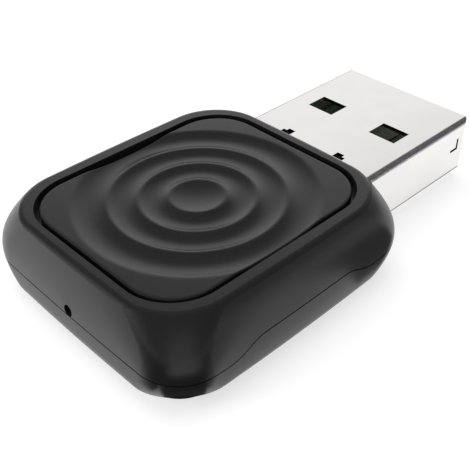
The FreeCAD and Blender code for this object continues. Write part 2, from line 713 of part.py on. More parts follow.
def plug_shell():
    """The folded sheet of the plug: a rounded box section, open at both ends."""
    body = new_body("plug_shell")
    section = new_sketch(body, "sheet_section", "YZ_Plane", PLUG_BACK + " - leg_length", "plug_level")
    rounded(section, "plug_width / 2", "plug_height / 2", "plug_bend")
    rounded(section, "plug_width / 2 - plug_sheet", "plug_height / 2 - plug_sheet", "plug_bend - plug_sheet")
    extrude(body, section, "plug_reach + plug_inside + leg_length")
    tip = size(TIP)
    side = size("plug_width / 2")
    top = size("plug_level + plug_height / 2")
    under = size("plug_level - plug_height / 2")
    soften(body, lambda box: box.XMin > tip - 1e-4 and (
        max(abs(box.YMin), abs(box.YMax)) > side - 1e-4 or box.ZMax > top - 1e-4 or box.ZMin < under + 1e-4),
        "plug_lead", "Chamfer")

    corners = new_sketch(body, "mouth_corners", "XY_Plane", "plug_level")
    for hand in (1, -1):
        mouth_corner(corners, hand)
    extrude(body, corners, "2 * plug_height", "Pocket", centred=True)

    legs = new_sketch(body, "leg_clearance", "XZ_Plane")
    rear = PLUG_BACK + " - leg_length - plug_sheet"
    rectangle(legs, rear, PLUG_BACK, "plug_level + leg_height / 2", "plug_level + plug_height")
    rectangle(legs, rear, PLUG_BACK, "plug_level - plug_height", "plug_level - leg_height / 2")
    extrude(body, legs, "2 * plug_width", "Pocket", centred=True)
    windows(body)
    pips(body)
    side_springs(body)
    seam(body)


def plug_insulator():
    """The moulded support that fills the plug under the board's tongue and closes its end."""
    body = new_body("plug_insulator")
    plan = new_sketch(body, "support_outline", "XY_Plane", "plug_level - plug_height / 2 + plug_sheet")
    half = "plug_width / 2 - plug_sheet - tongue_play"
    rectangle(plan, PLUG_BACK, TIP + " - tongue_back / 2", "-(%s)" % half, half)
    extrude(body, plan, "tongue_level - contact_thick")
    seat = new_sketch(body, "tongue_seat", "XY_Plane", BOARD_UNDER)
    rectangle(seat, PLUG_BACK + " - tongue_play", TONGUE_END, "-plug_width / 2", "plug_width / 2")
    extrude(body, seat, "2 * board_thick", "Pocket", back=True)
    nose = size(TIP + " - tongue_back / 2") - 1e-4
    seat_top = size(BOARD_TOP) - 1e-4
    soften(body, lambda box: box.XMin > nose and box.ZMin > seat_top, "nose_bevel", "Chamfer")


def contacts():
    """Four gilt strips with rounded ends on the tongue: power outside, data inside."""
    rows = [("contact_power", "-power_space / 2", "power_length"),
            ("contact_data_minus", "-data_space / 2", "data_length"),
            ("contact_data_plus", "data_space / 2", "data_length"),
            ("contact_ground", "power_space / 2", "power_length")]
    for label, across, length in rows:
        body = new_body(label)
        sketch = new_sketch(body, label + "_outline", "XY_Plane", BOARD_TOP)
        bind(sketch, "AttachmentOffset.Base.x", "%s - contact_back - %s / 2" % (TONGUE_END, length))
        bind(sketch, "AttachmentOffset.Base.y", across)
        rounded(sketch, length + " / 2", "contact_width / 2", "contact_width / 4")
        extrude(body, sketch, "contact_thick")


# Board and what it carries

def circuit_board():
    """The board: wide inside the body, and a tongue that reaches into the plug."""
    body = new_body("circuit_board")
    plan = new_sketch(body, "board_outline", "XY_Plane", BOARD_UNDER)
    back = "-(%s)" % BOARD_BACK
    near, far = "-(%s)" % BOARD_EDGE, BOARD_EDGE
    slim = "plug_width / 2 - plug_sheet - tongue_play"
    polygon(plan, [(back, near), (SHOULDER, near), (SHOULDER, "-(%s)" % slim), (TONGUE_END, "-(%s)" % slim),
                   (TONGUE_END, slim), (SHOULDER, slim), (SHOULDER, far), (back, far)])
    extrude(body, plan, "board_thick")
    edge = size(BOARD_EDGE)
    soften(body, lambda box: upright(box) and abs(box.YMin) > edge - 1e-4 and box.XMin < 0, "board_corner")
    soften(body, lambda box: upright(box) and abs(box.YMin) > edge - 1e-4 and box.XMin > 0,
           "shoulder_share * (%s - (%s))" % (BOARD_EDGE, slim))
    notch = new_sketch(body, "light_notch", "XY_Plane", BOARD_UNDER)
    rectangle(notch, "-body_length / 2", "%s + light_deep" % back,
              "-light_width / 2 - notch_play", "light_width / 2 + notch_play")
    extrude(body, notch, "2 * board_thick", "Pocket", back=True)
    holes = new_sketch(body, "pin_holes", "XY_Plane", BOARD_UNDER)
    for _, x, y in post_places():
        circle(holes, x, y, "pin_width + pin_play")
    extrude(body, holes, "2 * board_thick", "Pocket", back=True)


def tall(label, side):
    """How high a chip stands on its side of the board."""
    return "%s_share * %s" % (label, ROOMS[side])


def chip_middle(label):
    """Where a chip's middle lies, along and across the body."""
    return label + "_along * body_length", label + "_across * body_width"


def chip(label):
    """A chip's body with its upper edges bevelled, seated on its side of the board."""
    side = CHIPS[label][-1]
    body = new_body(label)
    top = side == "top"
    base = BOARD_TOP if top else BOARD_UNDER
    sketch = new_sketch(body, label + "_outline", "XY_Plane", base)
    x, y = chip_middle(label)
    rectangle(sketch, "%s - %s_length / 2" % (x, label), "%s + %s_length / 2" % (x, label),
              "%s - %s_width / 2" % (y, label), "%s + %s_width / 2" % (y, label))
    extrude(body, sketch, tall(label, side), back=not top)
    far = "%s %s %s" % (base, "+" if top else "-", tall(label, side))
    soften(body, level(far), "chip_bevel", "Chamfer")


def centre_on_chip(sketch, label):
    x, y = chip_middle(label)
    bind(sketch, "AttachmentOffset.Base.x", x)
    bind(sketch, "AttachmentOffset.Base.y", y)


def shield_can():
    """A folded tin lid over the wireless chip."""
    body = new_body("wireless_shield_can")
    sketch = new_sketch(body, "can_outline", "XY_Plane", BOARD_TOP)
    centre_on_chip(sketch, "wireless_chip")
    outer = ("wireless_chip_length / 2 + can_room", "wireless_chip_width / 2 + can_room")
    rounded(sketch, outer[0], outer[1], "can_round")
    height = "can_share * " + ROOMS["top"]
    extrude(body, sketch, height)
    soften(body, level("%s + %s" % (BOARD_TOP, height)), "can_round / 2")
    inside = new_sketch(body, "can_inside", "XY_Plane", BOARD_TOP)
    centre_on_chip(inside, "wireless_chip")
    rounded(inside, outer[0] + " - can_sheet", outer[1] + " - can_sheet", "can_round / 2")
    extrude(body, inside, height + " - can_sheet", "Pocket", back=True)


def status_light():
    """A side-firing light, sunk into the notch in the board's edge behind the hole."""
    body = new_body("status_light")
    sketch = new_sketch(body, "light_outline", "XY_Plane", "joint_end - light_high / 2")
    back = "-(%s)" % BOARD_BACK
    rectangle(sketch, back, back + " + light_deep", "-light_width / 2", "light_width / 2")
    extrude(body, sketch, "light_high")
    soften(body, lambda box: upright(box) and box.XMin < size(back) + 1e-4, "chip_bevel", "Chamfer")


def thermal_pad():
    """The soft pad that carries the processor's heat to the deck."""
    body = new_body("thermal_pad")
    foot = "%s + %s" % (BOARD_TOP, tall("main_processor", "top"))
    sketch = new_sketch(body, "pad_outline", "XY_Plane", foot)
    centre_on_chip(sketch, "main_processor")
    rounded(sketch, "main_processor_length / 2 - pad_inset", "main_processor_width / 2 - pad_inset",
            "pad_inset")
    extrude(body, sketch, "%s - (%s)" % (CEILING, foot))


def small_parts(label):
    """A group of like two-ended parts: each a ceramic middle between two metal ends."""
    _, _, _, side, middles = GROUPS[label]
    foot = BOARD_TOP if side == "top" else "%s - %s" % (BOARD_UNDER, tall(label, side))
    blocks = [("0", "cap_share"), ("cap_share", "1 - 2 * cap_share"), ("1 - cap_share", "cap_share")]
    solids = []
    for x, y in middles:
        for start, share in blocks:
            box = doc.addObject("Part::Box", label + "_block")
            bind(box, "Length", "%s_length * (%s)" % (label, share))
            bind(box, "Width", label + "_width")
            bind(box, "Height", tall(label, side))
            bind(box, "Placement.Base.x", "%s * body_length + %s_length * (%s - 0.5)" % (x, label, start))
            bind(box, "Placement.Base.y", "%s * body_width - %s_width / 2" % (y, label))
            bind(box, "Placement.Base.z", foot)
            solids.append(box)
    group = doc.addObject("Part::Compound", label)
    group.Links = solids
    group.Label = label


def check_and_write(labels):
    """Stops on any failed object or broken solid, then writes one file for each piece."""
    doc.recompute()
    for thing in doc.Objects:
        if "Invalid" in thing.State or "Error" in thing.State:
            raise RuntimeError("%s: %s" % (thing.Label, thing.State))
    os.makedirs("parts", exist_ok=True)
    for label in labels:
        shape = doc.getObjectsByLabel(label)[0].Shape
        if shape.isNull() or not shape.isValid() or not shape.Solids:
            raise RuntimeError(label + " has no valid solid")
        box = shape.optimalBoundingBox(False)
        limits = (box.XMin, box.XMax, box.YMin, box.YMax, box.ZMin, box.ZMax)
        print("%-20s solids %2d  volume %8.2f" % (label, len(shape.Solids), shape.Volume)
              + "  x %6.2f..%6.2f  y %6.2f..%6.2f  z %5.2f..%5.2f" % limits)
        shape.exportStep("parts/%s.step" % label)


shells()
ripple_plate()
plate_tape()
plug_shell()
plug_insulator()
contacts()
circuit_board()
for chip_label in CHIPS:
    chip(chip_label)
shield_can()
status_light()
thermal_pad()
for group_label in GROUPS:
    small_parts(group_label)
check_and_write(["upper_shell", "lower_shell", "ripple_plate", "plate_adhesive", "plug_shell",
                 "plug_insulator", "contact_power", "contact_data_minus", "contact_data_plus",
                 "contact_ground", "circuit_board", "wireless_shield_can", "status_light",
                 "thermal_pad"] + list(CHIPS) + list(GROUPS))
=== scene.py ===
# %% [markdown]
# # A small wireless car adapter
#
# The object is a black pillow-shaped plastic body, about 21 mm long, with a rippled cover plate
# on top and a nickel-plated USB plug at one end. The construction was done in CAD. This lesson
# loads that model as a fixed frame and gives it its looks. All lengths are in metres.

# %% Load the frame
import bmesh
import bpy
import json
import math
from mathutils import Matrix, Vector


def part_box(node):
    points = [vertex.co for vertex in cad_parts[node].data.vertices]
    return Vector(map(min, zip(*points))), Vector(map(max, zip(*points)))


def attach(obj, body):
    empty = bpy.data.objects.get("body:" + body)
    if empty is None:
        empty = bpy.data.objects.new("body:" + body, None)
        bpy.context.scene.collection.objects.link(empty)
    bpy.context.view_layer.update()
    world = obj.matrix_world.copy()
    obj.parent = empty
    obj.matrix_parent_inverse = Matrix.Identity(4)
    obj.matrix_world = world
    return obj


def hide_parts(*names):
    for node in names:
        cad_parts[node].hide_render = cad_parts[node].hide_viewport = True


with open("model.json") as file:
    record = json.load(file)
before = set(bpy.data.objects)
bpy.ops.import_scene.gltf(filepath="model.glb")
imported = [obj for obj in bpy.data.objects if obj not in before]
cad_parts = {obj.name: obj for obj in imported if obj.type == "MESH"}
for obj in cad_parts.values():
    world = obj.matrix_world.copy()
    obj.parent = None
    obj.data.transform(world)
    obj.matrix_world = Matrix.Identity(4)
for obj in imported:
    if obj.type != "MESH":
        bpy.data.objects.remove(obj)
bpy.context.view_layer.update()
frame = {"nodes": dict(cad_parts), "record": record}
scene = bpy.context.scene
MM = 0.001

# %% [markdown]
# ## The camera
#
# The view comes first, because every later choice is judged through it. The photograph was taken
# from close by, above one of the body's rear corners, so that the plug points away to the right.
# The place, tilt and lens were worked out from the edges of the plate, the plug and the body.

# %% Camera
AZIMUTH, ELEVATION, ROLL = (math.radians(a) for a in (-44.185, 38.939, -0.522))
EYE = Vector((-26.488, -32.433, 35.254)) * MM
LENS = 59.83
FILM_WIDTH = 36
SHIFT_X, SHIFT_Y = -0.0400, 0.0321
NEAR_CLIP, FAR_CLIP = 1 * MM, 10


def camera_axes(azimuth, elevation, roll):
    """Right, up and backward directions of a camera that looks in at this angle."""
    back = Vector((math.sin(azimuth) * math.cos(elevation),
                   -math.cos(azimuth) * math.cos(elevation),
                   math.sin(elevation)))
    right = Vector((math.cos(azimuth), math.sin(azimuth), 0))
    up = back.cross(right)
    turned = math.cos(roll) * right + math.sin(roll) * up
    return turned, math.cos(roll) * up - math.sin(roll) * right, back


def place_camera():
    camera = bpy.data.objects.new("camera", bpy.data.cameras.new("camera"))
    scene.collection.objects.link(camera)
    turn = Matrix(camera_axes(AZIMUTH, ELEVATION, ROLL)).transposed()
    camera.matrix_world = Matrix.Translation(EYE) @ turn.to_4x4()
    lens = camera.data
    lens.sensor_fit = "HORIZONTAL"
    lens.sensor_width = FILM_WIDTH
    lens.lens = LENS
    lens.shift_x, lens.shift_y = SHIFT_X, SHIFT_Y
    lens.clip_start, lens.clip_end = NEAR_CLIP, FAR_CLIP
    scene.camera = camera
    return camera


print("camera", place_camera().name, "with a lens of", LENS, "mm")

# %% [markdown]
# ## Helpers for shader nodes
#
# Every finish below is a small network of shader nodes. Without helpers, each node would take
# three or four lines, and the idea of the finish would drown in them. So each common step gets a
# short function of its own: first the plain ones, which add a node, join two sockets and start a
# material.

# %% Node helpers
def add_node(tree, kind, **settings):
    """A node with its properties; a dict called sockets sets input values by name or number."""
    node = tree.nodes.new("ShaderNode" + kind)
    sockets = settings.pop("sockets", {})
    for name, value in settings.items():
        setattr(node, name, value)
    for name, value in sockets.items():
        node.inputs[name].default_value = value
    return node


def wire(tree, start, end):
    tree.links.new(start, end)


def start_material(name, colour, roughness, metallic=0.0, **sockets):
    """A material whose uniform values sit on the shader's own sockets."""
    material = bpy.data.materials.new(name)
    material.use_nodes = True
    shader = material.node_tree.nodes["Principled BSDF"]
    shader.inputs["Base Color"].default_value = list(colour) + [1]
    shader.inputs["Roughness"].default_value = roughness
    shader.inputs["Metallic"].default_value = metallic
    for socket, value in sockets.items():
        shader.inputs[socket.replace("_", " ")].default_value = value
    return material, material.node_tree, shader


print("plain helpers ready")

# %% [markdown]
# ## Helpers for values
#
# The next ones work on values. A term may be a plain number or another node's socket, and the
# result is a socket again, so that steps can be nested like sums on paper.

# %% Value helpers
def reckon(tree, operation, *terms):
    """A Math node's value; each term is a number or a socket."""
    node = add_node(tree, "Math", operation=operation)
    for socket, term in zip(node.inputs, terms):
        if isinstance(term, (int, float)):
            socket.default_value = term
        else:
            wire(tree, term, socket)
    return node.outputs["Value"]


def fade(tree, value, start, end, low=0.0, high=1.0, smooth=True):
    """Goes from low at start to high at end, and stays there beyond them."""
    node = add_node(tree, "MapRange", interpolation_type="SMOOTHSTEP" if smooth else "LINEAR",
                    sockets={"From Min": start, "From Max": end, "To Min": low, "To Max": high})
    wire(tree, value, node.inputs["Value"])
    return node.outputs["Result"]


def axis_of(tree, vector, axis):
    """One component of a vector."""
    parts = add_node(tree, "SeparateXYZ")
    wire(tree, vector, parts.inputs["Vector"])
    return parts.outputs[axis]


def object_place(tree):
    """The place on the object in metres, which stays put when the view moves."""
    return add_node(tree, "TexCoord").outputs["Object"]


def facing(tree):
    """The direction in which the surface faces."""
    return add_node(tree, "NewGeometry").outputs["Normal"]


print("value helpers ready")

# %% [markdown]
# ## Helpers for colour and relief
#
# The last ones end a network: they blend two tones by a mask, spread a mask over a range of
# roughness, or turn a height into relief.

# %% Colour helpers
def two_tones(tree, mask, low, high, start=0.0):
    """A colour between two tones; a mask below start gives the low one."""
    ramp = add_node(tree, "ValToRGB")
    first, last = ramp.color_ramp.elements
    first.position = start
    first.color, last.color = list(low) + [1], list(high) + [1]
    wire(tree, mask, ramp.inputs["Fac"])
    return ramp.outputs["Color"]


def mix_colours(tree, mask, first, second):
    """Colour sockets or plain colours, blended by a mask."""
    mix = add_node(tree, "Mix", data_type="RGBA")
    wire(tree, mask, mix.inputs["Factor"])
    for label, colour in (("A", first), ("B", second)):
        socket = [i for i in mix.inputs if i.name == label and i.type == "RGBA"][0]
        if isinstance(colour, tuple):
            socket.default_value = list(colour) + [1]
        else:
            wire(tree, colour, socket)
    return [o for o in mix.outputs if o.type == "RGBA"][0]


def spread_value(tree, mask, low, high, target):
    """Maps a mask from 0..1 onto a range of values and feeds a socket."""
    wire(tree, fade(tree, mask, 0.0, 1.0, low, high, smooth=False), target)


def raise_surface(tree, height, shader, depth, strength=1.0):
    """Feeds a height to a Bump node; depth is in metres."""
    bump = add_node(tree, "Bump", sockets={"Strength": strength, "Distance": depth})
    wire(tree, height, bump.inputs["Height"])
    wire(tree, bump.outputs["Normal"], shader.inputs["Normal"])


print("colour helpers ready")

# %% [markdown]
# ## The white room
#
# A catalogue picture like this one is taken on white paper in a white room. The backdrop must
# look white, yet the light on the object has to stay plain. The world can do both: its strength
# is 1 for rays that come from the camera, from gloss or from glass, and lower for the light that
# falls on surfaces. The Light Path node tells these rays apart.

# %% White room
ROOM_LIGHT = 0.55


def seen_or_mirrored(tree):
    """One for rays from the camera and from gloss or glass, and nought for light on surfaces."""
    path = add_node(tree, "LightPath")
    shown = reckon(tree, "MAXIMUM", path.outputs["Is Camera Ray"], path.outputs["Is Glossy Ray"])
    return reckon(tree, "MAXIMUM", shown, path.outputs["Is Transmission Ray"])


def white_room():
    world = bpy.data.worlds.new("white_room")
    scene.world = world
    world.use_nodes = True
    tree = world.node_tree
    background = tree.nodes["Background"]
    background.inputs["Color"].default_value = (1, 1, 1, 1)
    spread_value(tree, seen_or_mirrored(tree), ROOM_LIGHT, 1, background.inputs["Strength"])
    return world


scene.view_settings.view_transform = "Standard"
print("world", white_room().name)

# %% [markdown]
# ## The paper
#
# White paper under a lamp is never quite as white as the backdrop, and its far end would show as
# a grey line. A lamp strong enough to clip it to white would wash out the object as well. So the
# paper is a middle grey that keeps the object's soft shadow, and a glow on top lifts it to white.
# Far from the object the glow grows, and the paper melts into the backdrop. From below, the paper
# is see-through, so that the underside can be looked at.

# %% Paper floor
PAPER_DARK, PAPER, PAPER_LIGHT = (0.35, 0.35, 0.35), (0.36, 0.36, 0.36), (0.37, 0.37, 0.37)
PAPER_MOTTLE = 400
PAPER_SIZE = 3
PAPER_DROP = -0.02 * MM
FLOOR_GLOW = 0.67
GLOW_START, GLOW_END = 70 * MM, 260 * MM


def paper_floor():
    material, tree, shader = start_material("floor_paper", PAPER, 0.9, Specular_IOR_Level=0.1)
    mottle = add_node(tree, "TexNoise", sockets={"Scale": PAPER_MOTTLE, "Detail": 3})
    wire(tree, two_tones(tree, mottle.outputs["Fac"], PAPER_DARK, PAPER_LIGHT),
         shader.inputs["Base Color"])
    reach = add_node(tree, "VectorMath", operation="LENGTH")
    wire(tree, object_place(tree), reach.inputs[0])
    glow = fade(tree, reach.outputs["Value"], GLOW_START, GLOW_END, FLOOR_GLOW, 1.0)
    shader.inputs["Emission Color"].default_value = (1, 1, 1, 1)
    wire(tree, reckon(tree, "MULTIPLY", glow, seen_or_mirrored(tree)),
         shader.inputs["Emission Strength"])
    underside = add_node(tree, "NewGeometry").outputs["Backfacing"]
    spread_value(tree, underside, 1, 0, shader.inputs["Alpha"])
    bpy.ops.mesh.primitive_grid_add(x_subdivisions=4, y_subdivisions=4, size=PAPER_SIZE,
                                    location=(0, 0, PAPER_DROP))
    floor = bpy.context.object
    floor.name = "floor"
    floor.data.materials.append(material)
    return floor


print("floor", paper_floor().name)

# %% [markdown]
# ## The soft boxes
#
# Two soft boxes light the object: a wide one overhead, and a small one on the picture's left that
# gives the rim its light. Black plastic shows a lamp as a hard bright patch, so gloss doesn't
# see them. What the gloss sees is built in the next steps.

# %% Soft boxes
LAMPS = [
    ("left_box", (-110, 60, 60), (-5, 0, 3), 80, 60, 0.10),
    ("overhead_box", (30, 40, 220), (5, 0, 3), 200, 200, 0.35),
]


def soft_box(name, place, target, width, height, power):
    """A rectangular lamp at a place in millimetres, aimed at another."""
    lamp = bpy.data.lights.new(name, "AREA")
    lamp.shape = "RECTANGLE"
    lamp.size, lamp.size_y = width * MM, height * MM
    lamp.energy = power
    box = bpy.data.objects.new(name, lamp)
    scene.collection.objects.link(box)
    start, end = Vector(place) * MM, Vector(target) * MM
    box.location = start
    box.rotation_euler = (end - start).to_track_quat("-Z", "Y").to_euler()
    box.visible_glossy = False


for name, place, target, width, height, power in LAMPS:
    soft_box(name, place, target, width, height, power)
print(len(LAMPS), "soft boxes")

# %% [markdown]
# ## The dome that gloss sees
#
# Black plastic and bright plating have hardly a colour of their own: the eye sees what they
# reflect. A photographer shapes that with panels of cloth round the table. Here the panels are
# soft bright patches on a dim dome, each given by its direction. The dome is kept out of the
# picture and out of the light, so that a panel can be moved without changing anything but gloss.

# %% Studio dome
DOME_RADIUS = 0.45
DOME_GREY = 0.22
# azimuth, elevation, radius and soft border in degrees, and brightness
PANELS = [
    (45, 8, 20, 24, 0.78),
    (145, 6, 12, 24, 0.5),
    (232, 12, 14, 16, 0.5),
]


def only_in_reflections(piece):
    """Keeps a stage piece out of sight and out of the light, so that gloss alone shows it."""
    for ray in ("camera", "diffuse", "shadow", "transmission", "volume_scatter"):
        setattr(piece, "visible_" + ray, False)
    return piece


def glowing_cloth(name, strength):
    """A material that only glows."""
    material, tree, shader = start_material(name, (0, 0, 0), 1.0, Specular_IOR_Level=0)
    shader.inputs["Emission Color"].default_value = (1, 1, 1, 1)
    shader.inputs["Emission Strength"].default_value = strength
    return material, tree, shader


def panel_light(tree, direction, azimuth, elevation, radius, border, brightness):
    """A soft round patch about a direction."""
    around, up = math.radians(azimuth), math.radians(elevation)
    aim = (math.cos(around) * math.cos(up), math.sin(around) * math.cos(up), math.sin(up))
    near = add_node(tree, "VectorMath", operation="DOT_PRODUCT", sockets={1: aim})
    wire(tree, direction, near.inputs[0])
    outer, inner = (math.cos(math.radians(angle)) for angle in (radius + border, radius))
    return fade(tree, near.outputs["Value"], outer, inner, 0.0, brightness)


def studio_dome():
    bpy.ops.mesh.primitive_uv_sphere_add(segments=48, ring_count=24, radius=DOME_RADIUS)
    dome = bpy.context.object
    dome.name = "studio_dome"
    material, tree, shader = glowing_cloth("dome_cloth", DOME_GREY)
    direction = add_node(tree, "VectorMath", operation="NORMALIZE")
    wire(tree, object_place(tree), direction.inputs[0])
    total = DOME_GREY
    for panel in PANELS:
        total = reckon(tree, "ADD", total,
                       panel_light(tree, direction.outputs["Vector"], *panel))
    wire(tree, total, shader.inputs["Emission Strength"])
    dome.data.materials.append(material)
    return only_in_reflections(dome)


print("dome", studio_dome().name, "with", len(PANELS), "panels")

# %% [markdown]
# ## Cards on the floor
#
# Seen from above, the walls of the body mirror the floor. White paper alone would make them
# all the same grey, and the near corner would vanish. So dark cards lie on the paper, again for
# gloss alone: one under the object, one along the plug's side, one close to the corner, and two
# whose grey changes with the bearing from the corner. These two draw the soft dark bands that run
# down on both sides of the corner. A card with straight edges would draw hard lines instead.

# %% Plain cards
CORNER = (-7.75, -7.0)
CARD_LEVEL = -0.01


def sector(centre, start, end, near, far, steps=24):
    """Corners of a ring's sector between two bearings in degrees."""
    angles = [math.radians(start + (end - start) * i / steps) for i in range(steps + 1)]
    out = [(math.cos(a), math.sin(a)) for a in angles]
    rim = [(centre[0] + far * x, centre[1] + far * y) for x, y in out]
    return rim + [(centre[0] + near * x, centre[1] + near * y) for x, y in reversed(out)]


def floor_card(name, corners, grey, level=CARD_LEVEL):
    """A flat card just over the paper, with its corners and its level in millimetres."""
    mesh = bpy.data.meshes.new(name)
    mesh.from_pydata([(x * MM, y * MM, level * MM) for x, y in corners], [],
                     [range(len(corners))])
    mesh.materials.append(glowing_cloth(name + "_paper", grey)[0])
    card = bpy.data.objects.new(name, mesh)
    scene.collection.objects.link(card)
    return only_in_reflections(card)


CARDS = [
    # The card under the object and the one close to the corner are painted shadow: they darken the
    # paper next to the base, as gloss sees it
    ("under_shadow_card", [(-10, -3), (-9.6, -7), (-7.6, -9), (-4, -9.3), (6, -9.2), (10, -5), (10, 5),
                    (6, 9), (-6, 9), (-10, 5)], 0.1),
    ("far_card", [(6, -10.2), (14, -10.2), (40, -30), (20, -38)], 0.2),
    ("contact_shadow_card", sector(CORNER, 193, 272, 1.5, 8.8), 0.07),
]
for name, corners, grey in CARDS:
    floor_card(name, corners, grey)
print(len(CARDS), "plain cards")

# %% [markdown]
# ## Shading a card by its bearing
#
# A bearing is the angle round a centre, as on a compass. The Math node's arctangent gives it from
# the two distances to the centre, and a colour ramp turns it into grey. The ramp starts at the
# bearing of nought, so the angle is taken from the opposite direction and moved by half a turn.

# %% Shaded cards
PAPER_WHITE = 1.35
SHADED_CARDS = [
    ("left_corner_card", (-10.4, -7.0), (119, 232), -0.015,
     [(122, 1.0), (128, 0.88), (133, 0.6), (138, 0.42), (147, 0.36), (157, 0.17), (169, 0.11),
      (188, 0.05), (200, 0.03), (207, 0.1), (212, 0.27), (218, 0.5), (226, 0.7)]),
    ("right_corner_card", (-7.6, -9.6), (218, 318), -0.017,
     [(230, 0.72), (240, 0.7), (250, 0.62), (258, 0.5), (265, 0.36), (272, 0.15), (290, 0.17),
      (296, 0.25), (301, 0.42), (306, 0.85), (311, 1.0)]),
]
SHADED_NEAR, SHADED_FAR = 0.3, 60


def shade_by_bearing(material, centre, bearings):
    """Sets a card's colour by its bearing from a centre in millimetres."""
    tree = material.node_tree
    offset = add_node(tree, "VectorMath", operation="SUBTRACT",
                      sockets={1: (centre[0] * MM, centre[1] * MM, 0)})
    wire(tree, object_place(tree), offset.inputs[0])
    turned = add_node(tree, "VectorMath", operation="SCALE", sockets={"Scale": -1.0})
    wire(tree, offset.outputs["Vector"], turned.inputs[0])
    opposite = reckon(tree, "ARCTAN2", axis_of(tree, turned.outputs["Vector"], "Y"),
                      axis_of(tree, turned.outputs["Vector"], "X"))
    share = reckon(tree, "MULTIPLY_ADD", opposite, 0.5 / math.pi, 0.5)
    ramp = add_node(tree, "ValToRGB")
    stops = ramp.color_ramp.elements
    while len(stops) < len(bearings):
        stops.new(0.5)
    for stop, (bearing, brightness) in zip(stops, bearings):
        stop.position = bearing / 360
        stop.color = (brightness, brightness, brightness, 1)
    wire(tree, share, ramp.inputs["Fac"])
    wire(tree, ramp.outputs["Color"],
         tree.nodes["Principled BSDF"].inputs["Emission Color"])


for name, start, (first, last), level, bearings in SHADED_CARDS:
    card = floor_card(name, sector(start, first, last, SHADED_NEAR, SHADED_FAR), PAPER_WHITE,
                      level)
    shade_by_bearing(card.data.materials[0], start, bearings)
print(len(SHADED_CARDS), "shaded cards")

# %% [markdown]
# ## Shared effects
#
# Up close, a moulded surface has a fine grain from its tool, a rolled sheet has faint lines along
# the rolling, and anything that is cast or fired has specks and slow changes of tone. These four
# effects come back in many finishes, so each is one group, and the materials give it their scale.
# A group is built once and placed many times, each time with its own values. Its sizes are in
# millimetres, and the first step in each is to turn a size into a texture's scale.

# %% Group helpers
def start_group(name, inputs, outputs):
    """A shader node group; inputs are name and starting value, outputs are names."""
    group = bpy.data.node_groups.new(name, "ShaderNodeTree")
    for label, value in inputs:
        socket = group.interface.new_socket(label, in_out="INPUT",
                                            socket_type="NodeSocketFloat")
        socket.default_value = value
    for label in outputs:
        group.interface.new_socket(label, in_out="OUTPUT", socket_type="NodeSocketFloat")
    given = group.nodes.new("NodeGroupInput").outputs
    return group, given, group.nodes.new("NodeGroupOutput").inputs


def use_group(tree, group, **values):
    """Places a group in a material with its own values, and gives its outputs."""
    node = tree.nodes.new("ShaderNodeGroup")
    node.node_tree = group
    for label, value in values.items():
        node.inputs[label].default_value = value
    return node.outputs


def texture(group, kind, scale, **settings):
    """A texture node at the object's own place, with its scale from a socket."""
    node = add_node(group, kind, **settings)
    wire(group, object_place(group), node.inputs["Vector"])
    wire(group, scale, node.inputs["Scale"])
    return node.outputs


print("group helpers ready")

# %% [markdown]
# ### Moulded grain
#
# The mould of a plastic part is etched, and the part takes over its fine pebbled grain. Noise
# alone looks like cloud, and cells alone look like scales. Their product has soft bumps of
# uneven size.

# %% Group: moulded grain
def moulded_grain():
    group, given, result = start_group("moulded_grain", [("Size", 0.1)], ["Height", "Tone"])
    scale = reckon(group, "DIVIDE", 1 / MM, given["Size"])
    grain = texture(group, "TexNoise", scale, sockets={"Detail": 3, "Roughness": 0.6})
    cells = texture(group, "TexVoronoi", scale, feature="SMOOTH_F1", sockets={"Smoothness": 0.6})
    wire(group, reckon(group, "MULTIPLY", grain["Fac"], cells["Distance"]), result["Height"])
    wire(group, grain["Fac"], result["Tone"])
    return group


GRAIN = moulded_grain()
print("group", GRAIN.name)

# %% [markdown]
# ### Rolled lines
#
# Rollers leave faint lines in a sheet, all in one direction. They could be a stripe pattern,
# but real ones start and end at random. So this is plain noise, stretched along X.

# %% Group: rolled lines
def rolled_lines():
    """Faint lines along X, as the rollers leave in sheet metal: noise that is stretched."""
    group, given, result = start_group("rolled_lines", [("Spacing", 0.05), ("Stretch", 40.0)],
                                       ["Height", "Tone"])
    across = reckon(group, "DIVIDE", 1 / MM, given["Spacing"])
    along = reckon(group, "DIVIDE", across, given["Stretch"])
    scales = add_node(group, "CombineXYZ")
    for axis, count in (("X", along), ("Y", across), ("Z", across)):
        wire(group, count, scales.inputs[axis])
    stretched = add_node(group, "VectorMath", operation="MULTIPLY")
    wire(group, object_place(group), stretched.inputs[0])
    wire(group, scales.outputs["Vector"], stretched.inputs[1])
    lines = add_node(group, "TexNoise", sockets={"Scale": 1.0, "Detail": 4, "Roughness": 0.65})
    wire(group, stretched.outputs["Vector"], lines.inputs["Vector"])
    for label in ("Height", "Tone"):
        wire(group, lines.outputs["Fac"], result[label])
    return group


LINES = rolled_lines()
print("group", LINES.name)

# %% [markdown]
# ### Specks
#
# Dust, fired grains and pits are all small round spots at random places. A cell texture has
# one centre in each cell, and the distance to it gives the spot. The cell's own random colour
# decides whether it has a spot at all.

# %% Group: specks
SPECK_EDGE, SPECK_HEART = 0.32, 0.18


def fine_specks():
    """Small round specks: dust, grains or pits; Amount is the share of cells that has one."""
    group, given, result = start_group("fine_specks", [("Size", 0.1), ("Amount", 0.2)], ["Mask"])
    scale = reckon(group, "DIVIDE", 1 / MM, given["Size"])
    cells = texture(group, "TexVoronoi", scale, feature="F1")
    speck = fade(group, cells["Distance"], SPECK_EDGE, SPECK_HEART)
    chosen = add_node(group, "SeparateColor")
    wire(group, cells["Color"], chosen.inputs["Color"])
    few = reckon(group, "LESS_THAN", chosen.outputs["Red"], given["Amount"])
    wire(group, reckon(group, "MULTIPLY", speck, few), result["Mask"])
    return group


SPECKS = fine_specks()
print("group", SPECKS.name)

# %% [markdown]
# ### Slow tone
#
# No surface has quite the same tone everywhere: handling, plating and firing leave wide, soft
# patches. Noise with little detail is enough for them.

